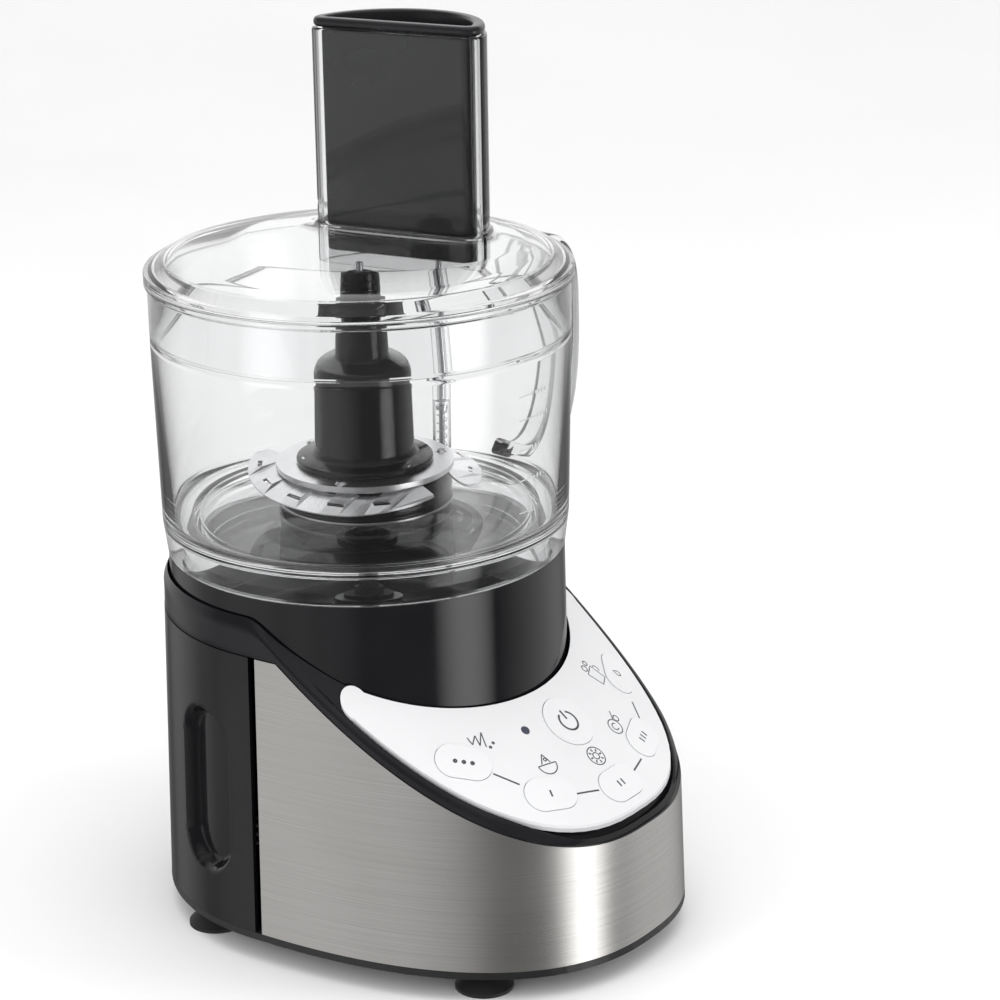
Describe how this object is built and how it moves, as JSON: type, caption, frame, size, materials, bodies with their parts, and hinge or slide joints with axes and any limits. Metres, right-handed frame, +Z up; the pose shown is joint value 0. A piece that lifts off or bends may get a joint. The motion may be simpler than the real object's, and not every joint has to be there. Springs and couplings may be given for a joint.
{
  "type": "food processor",
  "caption": "Food processor: clear bowl with handle, lid, feed tube and pusher over a steel-wrapped base with a sloping key panel and belt drive.",
  "frame": {"origin": "centre of the bounding box, on the surface it stands on", "axes": "+Z up, -Y towards the user's side with the key panel, +X to the right where the bowl handle is"},
  "size_m": [0.2152, 0.2299, 0.3697],
  "materials": {
    "black_gloss": "high gloss",
    "black_plastic": "satin",
    "clear_plastic": "clear, polished",
    "brushed_steel": "brushed round the body",
    "blade_steel": "polished",
    "panel_silver": "pearl silver print",
    "grey_rubber": "matte",
    "black_rubber": "matte",
    "smoke_lens": "gloss",
    "circuit_board": "satin",
    "plated_steel": "plated",
    "laminated_iron": "matte",
    "copper_winding": "enamelled",
    "bronze": "oiled",
    "die_cast": "as cast",
    "ivory_plastic": "matte"
  },
  "bodies": {
    "base": {"base_plate": "black_plastic", "rear_casing": "black_gloss", "steel_sleeve": "brushed_steel", "sleeve_frame": "black_plastic", "deck_trim": "black_gloss", "bowl_seat": "black_gloss", "control_panel": "panel_silver", "switch_membrane": "grey_rubber", "status_light": "smoke_lens", "control_board": "circuit_board", "power_board": "circuit_board", "cable_gland": "black_rubber", "base_screws": "plated_steel", "front_left_foot": "black_rubber", "front_right_foot": "black_rubber", "rear_left_foot": "black_rubber", "rear_right_foot": "black_rubber", "spindle_housing": "black_plastic", "lower_bush": "bronze", "upper_bush": "bronze", "shaft_seal": "black_rubber", "motor_mounts": "black_rubber", "stator_core": "laminated_iron", "field_coils": "copper_winding", "lower_bracket": "die_cast", "upper_bracket": "die_cast", "brush_holders": "bronze", "drive_belt": "black_rubber", "lid_switch": "black_plastic"},
    "spindle": {"drive_spindle": "plated_steel", "spindle_pulley": "ivory_plastic"},
    "motor": {"motor_shaft": "plated_steel", "armature_core": "laminated_iron", "armature_coils": "copper_winding", "commutator": "copper_winding", "cooling_fan": "ivory_plastic", "motor_pulley": "die_cast"},
    "bowl": {"bowl": "clear_plastic", "handle": "clear_plastic", "rod_spring": "plated_steel"},
    "lid": {"lid": "clear_plastic", "feed_tube": "clear_plastic"},
    "pusher": {"pusher": "black_gloss"},
    "blade": {"blade_hub": "black_gloss", "blade_collar": "blade_steel", "blade_plate": "blade_steel", "blade_drum": "black_gloss", "collar_rivets": "plated_steel", "hub_pin": "plated_steel"},
    "lock_rod": {"lock_rod": "plated_steel"},
    "switch_plunger": {"switch_plunger": "ivory_plastic"},
    "power_key": {"power_key": "panel_silver"},
    "pulse_key": {"pulse_key": "panel_silver"},
    "low_key": {"low_key": "panel_silver"},
    "normal_key": {"normal_key": "panel_silver"},
    "high_key": {"high_key": "panel_silver"},
    "juice_key": {"juice_key": "panel_silver"}
  },
  "joints": [
    {"name": "spindle_spin", "type": "hinge", "parent": "base", "child": "spindle", "pos_m": [-0.01761, 0.02625, 0.022], "axis": [0, 0, 1], "continuous": true},
    {"name": "motor_spin", "type": "hinge", "parent": "base", "child": "motor", "pos_m": [-0.01761, -0.03575, 0.059], "axis": [0, 0, 1], "continuous": true},
    {"name": "bowl_lift", "type": "slide", "parent": "base", "child": "bowl", "axis": [0, 0, 1], "range_m": [0, 0.075]},
    {"name": "lid_lift", "type": "slide", "parent": "bowl", "child": "lid", "axis": [0, 0, 1], "range_m": [0, 0.06]},
    {"name": "pusher_slide", "type": "slide", "parent": "lid", "child": "pusher", "axis": [0, 0, 1], "range_m": [0, 0.105]},
    {"name": "blade_spin", "type": "hinge", "parent": "bowl", "child": "blade", "pos_m": [-0.01761, 0.02625, 0.189], "axis": [0, 0, 1], "continuous": true},
    {"name": "rod_press", "type": "slide", "parent": "bowl", "child": "lock_rod", "axis": [0, 0, -1], "range_m": [0, 0.0035], "stiffness_N_per_m": 300, "deforming": ["rod_spring"]},
    {"name": "switch_press", "type": "slide", "parent": "base", "child": "switch_plunger", "axis": [0, 0, -1], "range_m": [0, 0.0035], "stiffness_N_per_m": 100},
    {"name": "power_press", "type": "slide", "parent": "base", "child": "power_key", "axis": [-0.0065, 0.6156, -0.788], "range_m": [0, 0.0004], "stiffness_N_per_m": 400},
    {"name": "pulse_press", "type": "slide", "parent": "base", "child": "pulse_key", "axis": [0.2435, 0.5971, -0.7643], "range_m": [0, 0.0004], "stiffness_N_per_m": 400},
    {"name": "low_press", "type": "slide", "parent": "base", "child": "low_key", "axis": [0.1487, 0.6088, -0.7792], "range_m": [0, 0.0004], "stiffness_N_per_m": 400},
    {"name": "normal_press", "type": "slide", "parent": "base", "child": "normal_key", "axis": [0, 0.6157, -0.788], "range_m": [0, 0.0004], "stiffness_N_per_m": 400},
    {"name": "high_press", "type": "slide", "parent": "base", "child": "high_key", "axis": [-0.1487, 0.6088, -0.7792], "range_m": [0, 0.0004], "stiffness_N_per_m": 400},
    {"name": "juice_press", "type": "slide", "parent": "base", "child": "juice_key", "axis": [-0.2435, 0.5971, -0.7643], "range_m": [0, 0.0004], "stiffness_N_per_m": 400}
  ],
  "couplings": [
    {"joint": "motor_spin", "follows": "spindle_spin", "ratio": 4.6667},
    {"joint": "blade_spin", "follows": "spindle_spin", "ratio": 1},
    {"joint": "switch_press", "follows": "rod_press", "ratio": 1}
  ]
}
